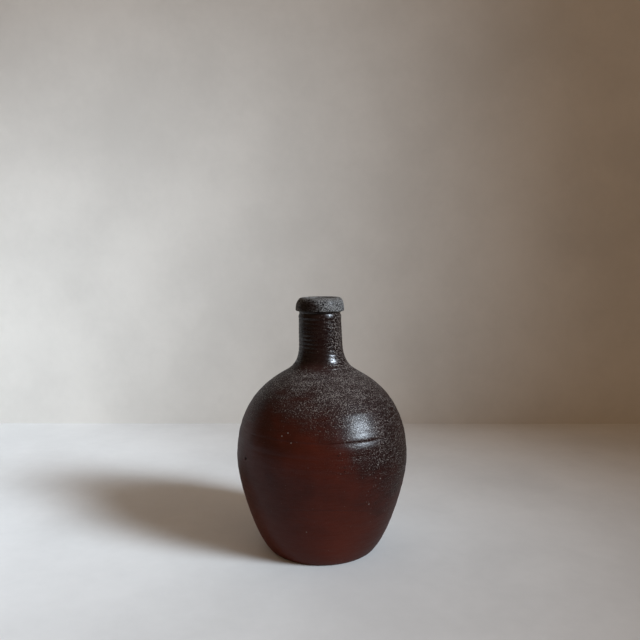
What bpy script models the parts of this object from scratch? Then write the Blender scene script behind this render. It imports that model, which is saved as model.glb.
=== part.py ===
"""A wheel-thrown stoneware sake bottle, as the clay sections that a potter throws and joins.

Metres, +Z up, origin at the centre of the face it stands on.  From the ground up: a base slab, the
lower wall that stands on it, the upper wall joined to it above the belly, the neck luted to the
shoulder, and the thick ring round the mouth.
"""

from math import atan2, cos, pi, radians, sin

import bmesh
import bpy
from mathutils import Vector

# --- Outside of the body: radii from the axis, heights stacked from the ground up -----------------
REST_RADIUS = 0.0486            # flat face that the bottle stands on
FOOT_EDGE_RADIUS = 0.0034       # rounded edge between that face and the wall
FOOT_FLARE = radians(45)        # how far the wall leans outwards from the vertical at the foot
BELLY_RADIUS = 0.0795           # widest point
BELLY_HEIGHT = 0.087            # widest point above the ground
SHOULDER_RADIUS = 0.041         # where the shoulder turns from bulging out to sweeping up
SHOULDER_RISE = 0.0745          # that turn above the widest point
SHOULDER_SLOPE = radians(57)    # how far the wall leans inwards from the vertical at that turn
NECK_SWEEP_HEIGHT = 0.0335      # from that turn up to the straight part of the neck
NECK_RADIUS = 0.0195            # straight part of the neck, at its top
NECK_TAPER = 0.0007             # how much wider it is at its foot
NECK_LENGTH = 0.027             # straight part, up to the underside of the mouth ring
RING_HEIGHT = 0.013             # mouth ring
RING_OVERHANG = 0.0031          # how far its sharp lower edge stands out from the neck

# --- Inside ------------------------------------------------------------------------------------
WALL = 0.0065                   # thickness of the body wall
BASE_THICKNESS = 0.0085         # ground to the inside floor
BORE_RADIUS = 0.013             # through the neck and the mouth ring

# --- Joints between the clay sections ------------------------------------------------------------
CLEARANCE = 0.0003              # gap between mating faces
BASE_STEP = 0.0025              # how far the floor of the base stands up inside the wall
BELLY_SEAM_RISE = 0.0295        # seam between lower and upper wall, above the widest point
NECK_SEAM_RISE = 0.0095         # seam between upper wall and neck, above the shoulder's turn
TONGUE_HEIGHT = 0.002           # ridge along the middle of a section's upper rim
SPIGOT_HEIGHT = 0.007           # thinned top of the neck, inside the mouth ring

# --- Mouth ring ----------------------------------------------------------------------------------
RING_EDGE = 0.0005              # small bevel under the ring's lower edge
RIM_FLAT = 0.0025               # flat top of the rim, measured across
MOUTH_EDGE_RADIUS = 0.0015      # rounded edge between the rim and the bore

# --- Fullness of the curves: a control point's distance as a part of the height that it spans ------
FOOT_FULLNESS = 0.2
BELLY_FULLNESS_BELOW = 0.24
BELLY_FULLNESS_ABOVE = 0.66
SHOULDER_FULLNESS_BELOW = 0.175
SHOULDER_FULLNESS_ABOVE = 0.39
NECK_FULLNESS = 0.75
RING_SIDE_FULLNESS = 0.5
RING_TOP_FULLNESS = 0.7

# --- Mesh -----------------------------------------------------------------------------------------
FACES_ROUND = 48                # faces round the axis, a multiple of four
CURVE_STEPS = 7                 # straight pieces along each curve of a section
EDGE_STEPS = 3                  # straight pieces round a small edge
WELD_DISTANCE = 1e-6
HALVINGS = 40                   # steps of the search for a height along a curve
SHARP_ANGLE = radians(40)

CLAY_COLORS = {
    "base_slab": (0.15, 0.055, 0.035),
    "lower_wall": (0.075, 0.022, 0.015),
    "upper_wall": (0.085, 0.045, 0.032),
    "neck": (0.07, 0.026, 0.018),
    "mouth_ring": (0.11, 0.1, 0.085),
}
CLAY_ROUGHNESS = {
    "base_slab": 0.75,
    "lower_wall": 0.38,
    "upper_wall": 0.45,
    "neck": 0.35,
    "mouth_ring": 0.65,
}

# --- Heights and radii that follow from the sizes above ---------------------------------------------
SHOULDER_HEIGHT = BELLY_HEIGHT + SHOULDER_RISE
NECK_FOOT_HEIGHT = SHOULDER_HEIGHT + NECK_SWEEP_HEIGHT
RING_BASE_HEIGHT = NECK_FOOT_HEIGHT + NECK_LENGTH
TOTAL_HEIGHT = RING_BASE_HEIGHT + RING_HEIGHT
NECK_FOOT_RADIUS = NECK_RADIUS + NECK_TAPER
NECK_FOOT_WALL = NECK_FOOT_RADIUS - BORE_RADIUS
SPIGOT_RADIUS = (BORE_RADIUS + NECK_RADIUS) / 2
RING_RADIUS = NECK_RADIUS + RING_OVERHANG
BASE_LEDGE_HEIGHT = BASE_THICKNESS - BASE_STEP


# --- Outline: points are (radius, height) ----------------------------------------------------------

def bezier(start, first_control, second_control, end, t):
    """Point and direction of travel on a cubic curve, for t from 0 to 1."""
    s = 1 - t
    point = s**3 * start + 3 * s * s * t * first_control
    point += 3 * s * t * t * second_control + t**3 * end
    direction = s * s * (first_control - start) + 2 * s * t * (second_control - first_control)
    direction += t * t * (end - second_control)
    return point, direction.normalized()


def body_spans():
    """The outside curve of the body: foot to belly, belly to shoulder, shoulder to neck."""
    up = Vector((0, 1))
    foot_lean = Vector((sin(FOOT_FLARE), cos(FOOT_FLARE)))
    shoulder_lean = Vector((-sin(SHOULDER_SLOPE), cos(SHOULDER_SLOPE)))
    edge_end = pi / 2 - FOOT_FLARE
    foot = Vector((
        REST_RADIUS + FOOT_EDGE_RADIUS * sin(edge_end),
        FOOT_EDGE_RADIUS * (1 - cos(edge_end)),
    ))
    belly = Vector((BELLY_RADIUS, BELLY_HEIGHT))
    shoulder = Vector((SHOULDER_RADIUS, SHOULDER_HEIGHT))
    neck_foot = Vector((NECK_FOOT_RADIUS, NECK_FOOT_HEIGHT))
    return (
        (
            foot,
            foot + foot_lean * (FOOT_FULLNESS * BELLY_HEIGHT),
            belly - up * (BELLY_FULLNESS_BELOW * BELLY_HEIGHT),
            belly,
        ),
        (
            belly,
            belly + up * (BELLY_FULLNESS_ABOVE * SHOULDER_RISE),
            shoulder - shoulder_lean * (SHOULDER_FULLNESS_BELOW * SHOULDER_RISE),
            shoulder,
        ),
        (
            shoulder,
            shoulder + shoulder_lean * (SHOULDER_FULLNESS_ABOVE * NECK_SWEEP_HEIGHT),
            neck_foot - up * (NECK_FULLNESS * NECK_SWEEP_HEIGHT),
            neck_foot,
        ),
    )


BODY_SPANS = body_spans()


def wall_at(station):
    """Outer point, inner point and upward direction of the wall.

    The station runs from 0 at the foot through 1 at the belly and 2 at the shoulder's turn to 3 at
    the foot of the neck.
    """
    span = min(int(station), len(BODY_SPANS) - 1)
    t = station - span
    outer, direction = bezier(*BODY_SPANS[span], t)
    outward = Vector((direction.y, -direction.x))
    thickness = WALL
    if span == len(BODY_SPANS) - 1:
        thickness += (NECK_FOOT_WALL - WALL) * t
    return outer, outer - outward * thickness, direction


def station_at(height, side):
    """The station where the outer (side 0) or inner (side 1) curve reaches a height."""
    low = 0.0
    high = float(len(BODY_SPANS))
    for _ in range(HALVINGS):
        middle = (low + high) / 2
        if wall_at(middle)[side].y < height:
            low = middle
        else:
            high = middle
    return low


def wall_curves(first_station, last_station, steps):
    """Outer and inner points of the wall between two stations, from the ground up."""
    outer = []
    inner = []
    for i in range(steps + 1):
        station = first_station + (last_station - first_station) * i / steps
        outer_point, inner_point, _ = wall_at(station)
        outer.append(outer_point)
        inner.append(inner_point)
    return outer, inner


def seam(station):
    """A joint across the wall: the ridge on the section below and the groove on the one above.

    Both go from the outside in.  The groove is the ridge moved up along the wall, so that the
    sloping faces stand one clearance apart.
    """
    outer, inner, direction = wall_at(station)
    crest = (outer + inner) / 2 + direction * TONGUE_HEIGHT
    ridge_slope = atan2(TONGUE_HEIGHT, (outer - inner).length / 2)
    lift = direction * (CLEARANCE / cos(ridge_slope))
    ridge = [outer, crest, inner]
    groove = [point + lift for point in ridge]
    return ridge, groove


def arc(centre_radius, centre_height, radius, start, end, steps=EDGE_STEPS):
    """Points round a small edge; angles are measured from +radius towards +height."""
    points = []
    for i in range(steps + 1):
        angle = start + (end - start) * i / steps
        points.append(Vector((
            centre_radius + radius * cos(angle),
            centre_height + radius * sin(angle),
        )))
    return points


FLOOR_STATION = station_at(BASE_THICKNESS, side=1)
FLOOR_RADIUS = wall_at(FLOOR_STATION)[1].x
BASE_STATION = station_at(BASE_LEDGE_HEIGHT, side=0)
BELLY_SEAM_STATION = station_at(BELLY_HEIGHT + BELLY_SEAM_RISE, side=0)
NECK_SEAM_STATION = station_at(SHOULDER_HEIGHT + NECK_SEAM_RISE, side=0)


# --- Turning a profile into a solid ----------------------------------------------------------------

def turned_object(name, profile, closed):
    """Spin a profile of (radius, height) points round the axis.

    The profile runs up the outside and back down the inside.  A closed one is a ring's section; an
    open one starts and ends on the axis.
    """
    bm = bmesh.new()
    verts = [bm.verts.new((point.x, 0, point.y)) for point in profile]
    edges = [bm.edges.new(pair) for pair in zip(verts, verts[1:])]
    if closed:
        edges.append(bm.edges.new((verts[-1], verts[0])))
    bmesh.ops.spin(
        bm,
        geom=verts + edges,
        cent=(0, 0, 0),
        axis=(0, 0, 1),
        angle=2 * pi,
        steps=FACES_ROUND,
        use_merge=True,
    )
    bmesh.ops.remove_doubles(bm, verts=bm.verts, dist=WELD_DISTANCE)
    bmesh.ops.recalc_face_normals(bm, faces=bm.faces)
    mesh = bpy.data.meshes.new(name)
    bm.to_mesh(mesh)
    bm.free()
    mesh.shade_smooth()
    mesh.set_sharp_from_angle(angle=SHARP_ANGLE)
    turned = bpy.data.objects.new(name, mesh)
    bpy.context.collection.objects.link(turned)
    mesh.materials.append(clay_material(name))
    return turned


def clay_material(name):
    """Fired stoneware in the section's own colour and gloss."""
    material = bpy.data.materials.new(name)
    material.use_nodes = True
    shader = material.node_tree.nodes["Principled BSDF"]
    shader.inputs["Base Color"].default_value = (*CLAY_COLORS[name], 1.0)
    shader.inputs["Roughness"].default_value = CLAY_ROUGHNESS[name]
    shader.inputs["Metallic"].default_value = 0.0
    return material


# --- The sections ----------------------------------------------------------------------------------

def make_base_slab():
    """Round slab with a ledge for the wall and a raised floor that sits inside it."""
    edge = arc(REST_RADIUS, FOOT_EDGE_RADIUS, FOOT_EDGE_RADIUS, -pi / 2, -FOOT_FLARE)
    outside, _ = wall_curves(0, BASE_STATION, EDGE_STEPS)
    floor_edge_radius = FLOOR_RADIUS - CLEARANCE
    profile = [Vector((0, 0))] + edge + outside[1:]
    profile.append(Vector((floor_edge_radius, BASE_LEDGE_HEIGHT)))
    profile.append(Vector((floor_edge_radius, BASE_THICKNESS)))
    profile.append(Vector((0, BASE_THICKNESS)))
    return turned_object("base_slab", profile, closed=False)


def make_lower_wall():
    """Thrown wall from the base's ledge to the seam above the belly."""
    foot_height = BASE_LEDGE_HEIGHT + CLEARANCE
    foot_station = station_at(foot_height, side=0)
    outside, _ = wall_curves(foot_station, BELLY_SEAM_STATION, 2 * CURVE_STEPS)
    _, inside = wall_curves(FLOOR_STATION, BELLY_SEAM_STATION, 2 * CURVE_STEPS)
    ridge, _ = seam(BELLY_SEAM_STATION)
    profile = outside[:-1] + ridge + inside[-2::-1]
    profile.append(Vector((FLOOR_RADIUS, foot_height)))
    return turned_object("lower_wall", profile, closed=True)


def make_upper_wall():
    """Thrown shoulder from the belly seam to the seam at the foot of the neck."""
    outside, inside = wall_curves(BELLY_SEAM_STATION, NECK_SEAM_STATION, 2 * CURVE_STEPS)
    _, groove = seam(BELLY_SEAM_STATION)
    ridge, _ = seam(NECK_SEAM_STATION)
    profile = outside[1:-1] + ridge + inside[-2:0:-1] + groove[::-1]
    return turned_object("upper_wall", profile, closed=True)


def make_neck():
    """Neck with its sweeping foot, and a thinned spigot that carries the mouth ring."""
    outside, inside = wall_curves(NECK_SEAM_STATION, len(BODY_SPANS), CURVE_STEPS)
    _, groove = seam(NECK_SEAM_STATION)
    spigot_top = RING_BASE_HEIGHT + SPIGOT_HEIGHT
    profile = outside[1:]
    profile.append(Vector((NECK_RADIUS, RING_BASE_HEIGHT)))
    profile.append(Vector((SPIGOT_RADIUS, RING_BASE_HEIGHT)))
    profile.append(Vector((SPIGOT_RADIUS, spigot_top)))
    profile.append(Vector((BORE_RADIUS, spigot_top)))
    profile += inside[:0:-1] + groove[::-1]
    return turned_object("neck", profile, closed=True)


def make_mouth_ring():
    """Thick ring round the mouth: seated on the neck, sharp below and rounded over the top."""
    socket_radius = SPIGOT_RADIUS + CLEARANCE
    underside = RING_BASE_HEIGHT + CLEARANCE
    socket_top = RING_BASE_HEIGHT + SPIGOT_HEIGHT + CLEARANCE
    mouth_edge_centre = BORE_RADIUS + MOUTH_EDGE_RADIUS
    side_foot = Vector((RING_RADIUS, underside + RING_EDGE))
    rim = Vector((mouth_edge_centre + RIM_FLAT, TOTAL_HEIGHT))
    side_height = rim.y - side_foot.y
    side_width = side_foot.x - rim.x
    side_control = side_foot + Vector((0, RING_SIDE_FULLNESS * side_height))
    rim_control = rim + Vector((RING_TOP_FULLNESS * side_width, 0))
    profile = [Vector((socket_radius, underside)), Vector((RING_RADIUS - RING_EDGE, underside))]
    for i in range(CURVE_STEPS):
        point, _ = bezier(side_foot, side_control, rim_control, rim, i / CURVE_STEPS)
        profile.append(point)
    profile.append(rim)
    profile += arc(
        mouth_edge_centre,
        TOTAL_HEIGHT - MOUTH_EDGE_RADIUS,
        MOUTH_EDGE_RADIUS,
        pi / 2,
        pi,
    )
    profile.append(Vector((BORE_RADIUS, socket_top)))
    profile.append(Vector((socket_radius, socket_top)))
    return turned_object("mouth_ring", profile, closed=True)


def main():
    for leftover in list(bpy.data.objects):
        bpy.data.objects.remove(leftover)
    make_base_slab()
    make_lower_wall()
    make_upper_wall()
    make_neck()
    make_mouth_ring()


main()
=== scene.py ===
"""Looks of a wheel-thrown stoneware sake bottle, around its packed clay sections.

Each section is turned again as a fine mesh through the outline of its CAD node, with the rings,
seams and dents that throwing, joining and firing leave, and is given its fired finish.  Metres,
+Z up, the front of the bottle towards -Y.  An azimuth is measured from the front towards +X.
"""

from math import ceil, cos, pi, radians, sin

import bpy
import numpy as np
from bpy.props import FloatProperty, FloatVectorProperty, PointerProperty
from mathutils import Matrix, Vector


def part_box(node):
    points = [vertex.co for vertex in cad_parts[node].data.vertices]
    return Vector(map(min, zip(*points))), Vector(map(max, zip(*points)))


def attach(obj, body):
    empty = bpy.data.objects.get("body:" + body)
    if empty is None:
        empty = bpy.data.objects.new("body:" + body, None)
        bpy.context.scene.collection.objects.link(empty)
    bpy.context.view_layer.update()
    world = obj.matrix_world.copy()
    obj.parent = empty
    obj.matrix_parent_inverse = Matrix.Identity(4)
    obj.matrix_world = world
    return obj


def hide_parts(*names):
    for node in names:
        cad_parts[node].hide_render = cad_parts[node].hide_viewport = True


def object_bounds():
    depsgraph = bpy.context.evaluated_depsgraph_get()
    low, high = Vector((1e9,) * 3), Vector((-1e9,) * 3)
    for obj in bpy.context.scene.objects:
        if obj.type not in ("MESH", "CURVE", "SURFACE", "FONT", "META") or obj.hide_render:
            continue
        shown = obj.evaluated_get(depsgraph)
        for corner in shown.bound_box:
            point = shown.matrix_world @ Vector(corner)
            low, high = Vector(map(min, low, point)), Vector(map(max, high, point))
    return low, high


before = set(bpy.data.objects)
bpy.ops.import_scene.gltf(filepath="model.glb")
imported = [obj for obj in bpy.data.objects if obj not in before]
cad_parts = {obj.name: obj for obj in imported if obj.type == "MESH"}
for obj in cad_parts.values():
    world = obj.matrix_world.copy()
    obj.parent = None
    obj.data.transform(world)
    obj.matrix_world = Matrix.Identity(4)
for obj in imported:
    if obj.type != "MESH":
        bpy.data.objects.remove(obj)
CAD_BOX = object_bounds()

bl_info = {
    "name": "Sake bottle",
    "version": (1, 0, 0),
    "blender": (4, 5, 0),
    "location": "3D View > Sidebar > Sake bottle",
    "description": "Turns the clay sections of a sake bottle and gives them their fired finish",
    "category": "Object",
}

MM = 0.001
BODY_SECTIONS = ("base_slab", "lower_wall", "upper_wall", "neck")
TOTAL_HEIGHT = CAD_BOX[1].z

# --- Reading and turning the sections
TOUCH = 1e-6  # closer than this, a point lies on a plane or on another point
ROUNDING = 6  # decimals of an outline point
CORNER = radians(40)  # a sharper turn splits an outline into two runs
SMOOTH_POINTS = 4  # a run of so many points is a curve
LEVEL_FACE = 3 * MM  # a level face this wide is a run of its own
SEAM_GAP = 0.6 * MM  # outline points this close across a seam are the same place
SEAM_TUCK = 0.9 * MM  # a joint's gap opens this far in from the surface
ROUND = 384  # faces round the bottle
OUTSIDE_STEP = 0.6 * MM
FINE_STEP = 0.35 * MM  # on the foot edge, the neck and the mouth ring
INSIDE_STEP = 2.2 * MM
LEVEL_STEP = 1.0 * MM
SHARP = radians(38)
JOINT_MARGIN = 5 * MM  # the rings inside fade out this near to a joint
STEPS = {"outside": OUTSIDE_STEP, "inside": INSIDE_STEP, "joint": INSIDE_STEP,
         "underside": LEVEL_STEP, "floor": LEVEL_STEP}
TEXTURE_SHARE = {"outside": 1.0, "inside": 0.25, "joint": 0.1, "underside": 0.7, "floor": 0.3}

# --- Marks on the outside of the body
# A hump is (strength, place, half width).  At a seam, heights are measured from it.
WAVER_SEED = 11
WAVER_WAVES = 26
WAVER_LOBES = 8  # a wave has fewer lobes than this round the bottle
WAVER_REACH = 55 * MM
OVAL_AZIMUTH = radians(78)
FOOT_CLEAR = (2 * MM, 26 * MM)  # waver and rings begin between these heights
NECK_BLEND = (-2 * MM, 12 * MM)  # the body's rings give way to the neck's
NECK_CALM = 0.55  # share of the waver that the neck lacks
RING_SHELTER = (0.2 * MM, 1.4 * MM)  # every mark ends this far below the mouth ring
BODY_RING_PITCH = 10.5 * MM
BODY_RING_SECOND_PITCH = 6.2 * MM
BODY_RING_SECOND = 0.6
BODY_RING_FADE = (0.65, 0.35)  # mean strength, and how far it comes and goes
BODY_RING_REACH = 90 * MM
RING_DRIFT = 1.6 * MM  # how far rings climb and fall on their way round
RING_DRIFT_REACH = 120 * MM
NECK_RING_PITCH = 3.7 * MM
NECK_RING_DRIFT = 0.25
NECK_RING_FADE = (0.6, 0.6)
NECK_RING_REACH = 22 * MM
BELLY_AZIMUTH = radians(30)  # where the line round the belly is deepest
BELLY_REACH = radians(42)
BELLY_SHOW = (0.22, 0.78)  # its strength elsewhere, and the gain at its deepest place
BELLY_BEHIND = 0.3
BELLY_BACK_REACH = radians(60)
BELLY_STEADY = radians(40)  # this near to its deepest place it does not wander
BELLY_WANDER = ((2, 0.9 * MM, 0.7), (5, 0.5 * MM, 0))  # lobes, height, phase
BELLY_HUMPS = ((1.4, -5.8 * MM, 3.4 * MM), (-0.85, 0, 0.75 * MM), (-0.3, -12.5 * MM, 1.1 * MM))
BELLY_LIP = 0.6
BELLY_LIP_RISE = 1.2 * MM
BELLY_LIP_FALL = (3 * MM, 9 * MM)
TRIM_HEIGHT = 59.8 * MM  # the line where the trimming tool stopped
TRIM_DEPTH = 0.3 * MM
TRIM_AZIMUTH = radians(-2)
TRIM_FALL = 14 * MM  # how far it has fallen at this angle to the sides
TRIM_FALL_REACH = radians(57)
TRIM_SPAN = (radians(8), radians(34))
TRIM_EDGE = 0.5 * MM
TRIM_SLOPE = 6 * MM
TRIM_GROOVE = ((-0.8, 0, 0.7 * MM),)
NECK_LINE_AZIMUTH = radians(20)
NECK_LINE_REACH = radians(45)
NECK_LINE_SHOW = (0.35, 0.65)
NECK_LINE_HUMPS = ((0.7, 0.9 * MM, 0.9 * MM), (-1, -0.9 * MM, 0.9 * MM))
BEAD = (-5.2 * MM, 1.2 * MM)  # bead and groove under the mouth ring: place and half width
GROOVE = (-1.9 * MM, 1.1 * MM)
PIT_AZIMUTH = radians(-58)
PIT_HEIGHT = 94.3 * MM
PIT_RADIUS = 1.8 * MM
PIT_SQUASH = 0.9
PIT_FLOOR = 0.25 * PIT_RADIUS
# painted shade: how far the pit's painted darkening reaches
PIT_SHADE_RADIUS = 0.8 * PIT_RADIUS
PIT_LIP = ((0.12, 1.5 * PIT_RADIUS, 0.5 * PIT_RADIUS),)
LEAN_HEIGHTS = (0.64 * TOTAL_HEIGHT, 0.955 * TOTAL_HEIGHT)

# --- Marks on the mouth ring, inside and underneath
RIM_SHOULDER = (10.3 * MM, 2.6 * MM)  # place over the ring's underside and half width
RIM_SIDE = (-3 * MM, 1 * MM)  # the shoulder begins this far outside the neck
RIM_WORN = 0.35 * MM  # how much fuller the shoulder is towards +X
RIM_WORN_ROUND = 0.05 * MM
RIM_WAVER = 0.12 * MM
RIM_WAVER_REACH = 18 * MM
RIM_FALL_AZIMUTH = radians(8)
RIM_FALL_START = 7.6 * MM
INSIDE_RING_PITCH = 8.4 * MM
INSIDE_DRIFT = 1 * MM
INSIDE_WAVER = 0.3
INSIDE_WAVER_REACH = 60 * MM
BORE_START = (10 * MM, 22 * MM)
BORE_CALM = 0.7  # share of the rings that the bore lacks
WIRE_CENTRE = (-31 * MM, 12 * MM)
WIRE_SQUASH = 0.8
WIRE_PITCH = 2.7 * MM
WIRE_SHAKE = 0.12
WIRE_SHAKES = 40
WIRE_FADE = (40 * MM, 47 * MM)
FLOOR_RING_PITCH = 9 * MM
FLOOR_RING_DEPTH = 0.4 * MM
FLOOR_RING_START = (2 * MM, 8 * MM)
FLOOR_RING_END = (38 * MM, 46 * MM)

# --- The kiln
# A grain is (size, detail, roughness, flatness).
# A pair SHOW, KEPT, BREAK or HEIGHT is a strength on bare glaze, and its gain under full ash.
MEAN = 0.5  # the middle of every grain
FIRE_AZIMUTH = radians(82)  # the side that the ash blew from
CLOUD = (34 * MM, 3, 0.5, 1.5)
STREAK = (16 * MM, 2, 0.5, 7)
BANDS = (9 * MM, 3, 0.6, 9)
DUST = (0.85 * MM, 2, 0.62)
PATCHES = (21 * MM, 3, 0.55, 0.7)
PATCH_EDGES = (0.25, 0.80)
FOOT_WASH = (88 * MM, 8 * MM)  # where the foot's thin wash begins and is full
FOOT_WASH_DRIFT = 50 * MM
FOOT_WASH_COVER = 0.8
ASH_SOFTNESS = 34 * MM
ASH_SIDES = (-0.4, 1.15)  # where its edge falls, from -1 to 1 towards the fire
ASH_CLOUD_DRIFT = 70 * MM  # how far the clouds and the streaks move the ash's edge
ASH_STREAK_DRIFT = 26 * MM
ASH_COVER = 0.9
SHOULDER_ASH = (128 * MM, 172 * MM)  # ash settled all round on the shoulder
SHOULDER_ASH_DRIFT = 0.7
NECK_GLAZE = (-6 * MM, 7 * MM)  # the neck's dark glaze begins this far over its seam
NECK_CLEAR = 0.9  # share of the settled ash that it lacks
NECK_ASH_SIDES = (-0.2, 0.8)
NECK_ASH_DRIFT = 0.9
FLASHED_SIDES = (0.30, 1.0)
FLASHED_COVER = 0.6
BLACK_COVER = 0.85
NECK_COVER = 0.93
VEIL = (0.52, 0.04, 0.8)  # shares of settled ash, blown ash and its bands
FINE_LEVEL = 0.735  # dust above this is a fine speck
FINE_LOWERED = (0.15, 0.025, 0.16)  # how far ash, settled ash and streaks lower it
FINE_EDGE = 0.045
FINE_SHOW = (0.3, 0.65)
COARSE_SPECKS = (1.9 * MM, 0.19)  # spacing, and radius as its part
COARSE_KEPT = (0.02, 0.22)
COARSE_SHOW = (0.3, 0.6)
PINHOLES = (2.7 * MM, 0.24)
PINHOLES_KEPT = (0.32, -0.2)  # shares of ash and settled ash
PINHOLE_SHOW = 0.85
GRAIN_RADIUS = 0.55 * MM
GRAIN_SHOW = 0.7
# painted shade: how dark the pit is painted
PIT_SHADE_SHOW = 0.9
SPOT_FULL = 0.7  # parts of a spot's radius where it is full, and where it ends
SPOT_END = 1.3
NEAR_END = 1.5
SPECK_CHANCE_EDGE = 0.02
MATT = 0.0  # specular level where the whole sheen is the coat's
SHEEN_BREAK = (0.8, 4.5)  # how far the dust breaks the sheen
NECK_SHEEN_BREAK = 4
SHEEN_BANDS = (0.8, 2)  # on the body, and the gain on the neck
DUST_HEIGHT = (0.035, 0.20)
RELIEF = (0.05, 0.05, 0.08, 0.14)  # millimetres of bands, fine and coarse specks, whole grains
# a dark patch of bare glaze on the mouth ring, partly real glaze and partly painted shade on the side
# away from the light
RIM_PATCH_AZIMUTH = radians(-34)
RIM_PATCH_WIDTH = radians(33)
RIM_PATCH_RISE = 5 * MM
RIM_PATCH_HEIGHT = 5.5 * MM
RIM_PATCH_EDGES = (1.3, 0.5)
RIM_DUST_EDGES = (0.44, 0.56)
RIM_TAN = (9 * MM, 13 * MM)  # the ring turns tan from here up, over its underside
RIM_LINING = (-4 * MM, -8 * MM)  # the inner glaze begins here, from the top

# --- Inside, underneath and the plaster
INNER_RUNS = (9 * MM, 3, 0.5, 0.25)
INNER_DUST = (0.85 * MM, 2)
GROG = (1.3 * MM, 3, 0.65)
GROG_EDGES = (0.58, 0.68)
TOAST = (17 * MM, 3)
GRAIN_EDGES = (0.35, 0.65)  # where a pattern begins to show, and shows fully
PLASTER_CLOUD = (220 * MM, 4, 0.55)
PLASTER_EDGES = (0.35, 0.8)
PLASTER_SHADE = 0.86
FLOAT_MARKS = (12 * MM, 3, 0.6)

# --- The studio: distances as parts of the bottle's height, from its foot
CAMERA_PLACE = (0, -2.528, 1.127)
CAMERA_TARGET = (-0.0075, 0, 0.908)
CAMERA_LENS = 36.0
WALL_DISTANCE = 1.95
FLOOR_GAP = 0.2 * MM
STAGE_SIZE = 6.0
PLANE_CORNERS = ((-1, -1), (1, -1), (1, 1), (-1, 1))
WINDOW_AZIMUTH = radians(51)
WINDOW_RISE = radians(33)
WINDOW_DISTANCE = 1.94
WINDOW_TALL = 0.7
WINDOW_SPREAD = radians(28)
WINDOW_TARGET = (-0.48, -0.07, 0.28)

# --- Grains of kiln ash that landed and stayed whole: azimuth in degrees, height in millimetres
ASH_GRAINS = (
    (-32, 159), (-17, 142), (-23, 124), (-20, 116.5), (32, 61.5), (-11, 38), (39, 83), (-27, 121),
    (128, 149), (151, 118), (-142, 131), (-118, 96), (97, 55),
)


def bell(x, centre, width):
    """A smooth hump, 1 at the centre."""
    return np.exp(-((x - centre) / width) ** 2)


def rise(x, low, high):
    """A smooth step from 0 at low to 1 at high."""
    t = np.clip((x - low) / (high - low), 0, 1)
    return t * t * (3 - 2 * t)


def grown(amount, base, gain):
    """A base strength, and its gain where the amount is 1."""
    return base + amount * gain


def turned_away(azimuth, centre):
    """Azimuth from a centre, between minus and plus half a turn."""
    return (azimuth - centre + pi) % (2 * pi) - pi


# --- What a user would change

def length(description, default):
    """A length that a user would change."""
    return FloatProperty(description=description, default=default, unit="LENGTH", precision=5)


def color(description, default):
    """A colour that a user would change, linear."""
    return FloatVectorProperty(
        description=description, default=default, subtype="COLOR", size=3, min=0, max=1)


def share(description, default):
    """A share from 0 to 1 that a user would change."""
    return FloatProperty(description=description, default=default, subtype="FACTOR", min=0, max=1)


class ThrownShape(bpy.types.PropertyGroup):
    """How far the fired clay strays from a true turned shape."""

    ring_depth: length("Depth of the rings round the body", 0.07 * MM)
    neck_ring_depth: length("Depth of the rings up the neck", 0.08 * MM)
    belly_line_depth: length("Depth of the line over the belly seam", 0.42 * MM)
    neck_line_depth: length("Depth of the line over the neck seam", 0.3 * MM)
    bead_height: length("Height of the bead under the mouth ring", 0.3 * MM)
    groove_depth: length("Depth of the groove under the mouth ring", 0.5 * MM)
    pit_depth: length("Depth of the pit in the left side", 1.1 * MM)
    oval: length("How far the body is out of round", 0.22 * MM)
    waver: length("Slow unevenness of the wall", 0.14 * MM)
    neck_lean: length("How far the mouth leans towards -X", 1.9 * MM)
    rim_tilt: length("How far the rim falls away at its lowest side", 0.8 * MM)
    inside_ring_depth: length("Depth of the rings inside", 0.35 * MM)
    wire_depth: length("Depth of the wire's marks underneath", 0.16 * MM)


class KilnFinish(bpy.types.PropertyGroup):
    """Colours and gloss that the glaze and the kiln give."""

    iron_brown: color("Iron glaze where it is thick", (0.026, 0.004, 0.0019))
    iron_red: color("Iron glaze where it is thin", (0.042, 0.0062, 0.0028))
    foot_red: color("Thin iron wash towards the foot", (0.064, 0.0098, 0.0039))
    neck_brown: color("Thick glossy glaze up the neck", (0.0026, 0.0004, 0.0003))
    iron_black: color("Iron glaze under the ash", (0.0042, 0.0021, 0.0019))
    ash_veil: color("Thin ash that melted into the glaze", (0.0265, 0.019, 0.0178))
    ash_grain: color("Fine ash that stayed on the glaze", (0.165, 0.143, 0.128))
    rim_grey: color("Dry ash on the mouth ring", (0.125, 0.118, 0.114))
    rim_shadow: color("Glaze between the grains on the mouth ring", (0.005, 0.0042, 0.0038))
    # tan towards the top of the mouth ring
    rim_tan: color("Worn top of the mouth ring", (0.072, 0.062, 0.054))
    inner_glaze: color("Thin glaze inside", (0.030, 0.013, 0.009))
    bare_clay: color("Unglazed clay underneath", (0.15, 0.062, 0.036))
    toasted_clay: color("Unglazed clay that the kiln darkened", (0.085, 0.033, 0.02))
    grog: color("Pale grains in the clay", (0.30, 0.22, 0.16))
    glaze_roughness: share("Roughness of the bare iron glaze", 0.33)
    ash_roughness: share("Roughness where ash lies on the glaze", 0.32)
    body_sheen: share("How much the body's glaze shines", 0.33)
    body_sheen_roughness: share("How soft the body's shine is", 0.33)
    neck_sheen: share("How much the neck's glaze shines", 0.40)
    neck_sheen_roughness: share("How soft the neck's shine is", 0.26)
    ash_top: length("Height of the ash's edge away from the fire", 150 * MM)
    ash_bottom: length("Height of the ash's edge on the fire side", 60 * MM)


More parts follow.
